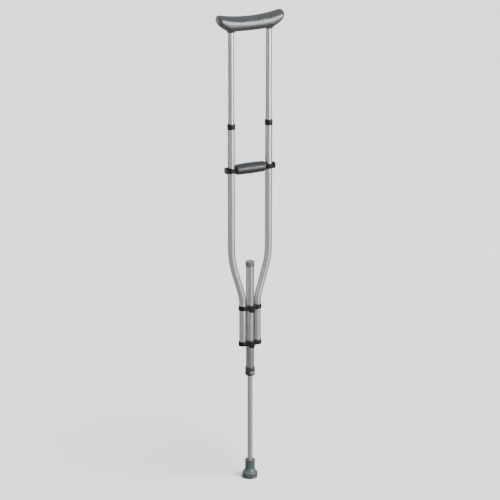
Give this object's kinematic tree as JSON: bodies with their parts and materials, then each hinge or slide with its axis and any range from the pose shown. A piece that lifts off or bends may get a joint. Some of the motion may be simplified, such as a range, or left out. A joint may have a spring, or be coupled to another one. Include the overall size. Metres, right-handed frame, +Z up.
{
  "type": "underarm crutch",
  "caption": "Height-adjustable aluminium underarm crutch with a padded saddle, a sliding hand grip and a telescoping leg with a rubber tip.",
  "frame": {"origin": "middle of the rubber tip's foot, on the floor, straight below the middle of the underarm saddle", "axes": "+Z up the crutch from tip to saddle; +X across the bow, from the left bow tube to the right; -Y the front, where the clamp bosses and the leg's release button are"},
  "size_m": [0.221, 0.049, 1.511],
  "materials": {
    "aluminium_tube": "satin anodised, drawn lengthwise",
    "black_plastic": "fine spark-eroded texture",
    "grey_plastic": "satin moulded",
    "button_plastic": "smooth moulded",
    "pad_foam": "skinned closed-cell foam rubber",
    "grip_foam": "closed-cell foam",
    "tip_rubber": "matt moulded rubber",
    "steel": "bright zinc plate",
    "black_steel": "black oxide",
    "spring_steel": "drawn wire"
  },
  "bodies": {
    "frame": {"left_bow_tube": "aluminium_tube", "right_bow_tube": "aluminium_tube", "centre_tube": "aluminium_tube", "centre_tube_cap": "grey_plastic", "upper_clamp_front": "black_plastic", "upper_clamp_back": "black_plastic", "lower_clamp_front": "black_plastic", "lower_clamp_back": "black_plastic", "clamp_bolts": "black_steel", "clamp_nuts": "steel", "bow_end_plugs": "black_plastic", "left_upper_collar": "grey_plastic", "right_upper_collar": "grey_plastic", "lower_collar": "grey_plastic", "lower_collar_cap": "grey_plastic", "leg_guide_bush": "black_plastic", "collar_pins": "steel", "leg_lock_spring": "spring_steel"},
    "leg": {"leg_tube": "aluminium_tube", "leg_top_glide": "black_plastic", "crutch_tip": "tip_rubber", "tip_washer": "steel"},
    "leg_latch": {"leg_release_button": "button_plastic", "leg_lock_pin": "steel"},
    "underarm": {"left_upper_tube": "aluminium_tube", "right_upper_tube": "aluminium_tube", "underarm_bar": "black_plastic", "underarm_rivets": "steel", "underarm_pad": "pad_foam", "left_snap_spring": "spring_steel", "right_snap_spring": "spring_steel"},
    "left_snap": {"left_snap_button": "steel"},
    "right_snap": {"right_snap_button": "steel"},
    "handle": {"handle_core": "aluminium_tube", "handle_pins": "steel", "hand_grip": "grip_foam", "left_handle_clip": "black_plastic", "right_handle_clip": "black_plastic", "left_handle_spring": "spring_steel", "right_handle_spring": "spring_steel"},
    "left_latch": {"left_handle_button": "black_plastic", "left_handle_lock_pin": "steel"},
    "right_latch": {"right_handle_button": "black_plastic", "right_handle_lock_pin": "steel"}
  },
  "joints": [
    {"name": "leg_slide", "type": "slide", "parent": "frame", "child": "leg", "axis": [0, 0, 1], "range_m": [-0.0254, 0.2794]},
    {"name": "underarm_slide", "type": "slide", "parent": "frame", "child": "underarm", "axis": [0, 0, 1], "range_m": [-0.2794, 0.0254]},
    {"name": "handle_slide", "type": "slide", "parent": "frame", "child": "handle", "axis": [0, 0, 1], "range_m": [-0.127, 0.0254]},
    {"name": "leg_button_press", "type": "slide", "parent": "frame", "child": "leg_latch", "axis": [0, 1, 0], "range_m": [0, 0.0026], "stiffness_N_per_m": 1500, "springref_m": -0.002, "deforming": ["leg_lock_spring"]},
    {"name": "left_snap_press", "type": "slide", "parent": "underarm", "child": "left_snap", "axis": [1, 0, 0], "range_m": [0, 0.004], "stiffness_N_per_m": 1500, "springref_m": -0.002, "deforming": ["left_snap_spring"]},
    {"name": "right_snap_press", "type": "slide", "parent": "underarm", "child": "right_snap", "axis": [-1, 0, 0], "range_m": [0, 0.004], "stiffness_N_per_m": 1500, "springref_m": -0.002, "deforming": ["right_snap_spring"]},
    {"name": "left_handle_press", "type": "slide", "parent": "handle", "child": "left_latch", "axis": [1, 0, 0], "range_m": [0, 0.002], "stiffness_N_per_m": 1500, "springref_m": -0.002, "deforming": ["left_handle_spring"]},
    {"name": "right_handle_press", "type": "slide", "parent": "handle", "child": "right_latch", "axis": [-1, 0, 0], "range_m": [0, 0.002], "stiffness_N_per_m": 1500, "springref_m": -0.002, "deforming": ["right_handle_spring"]}
  ]
}
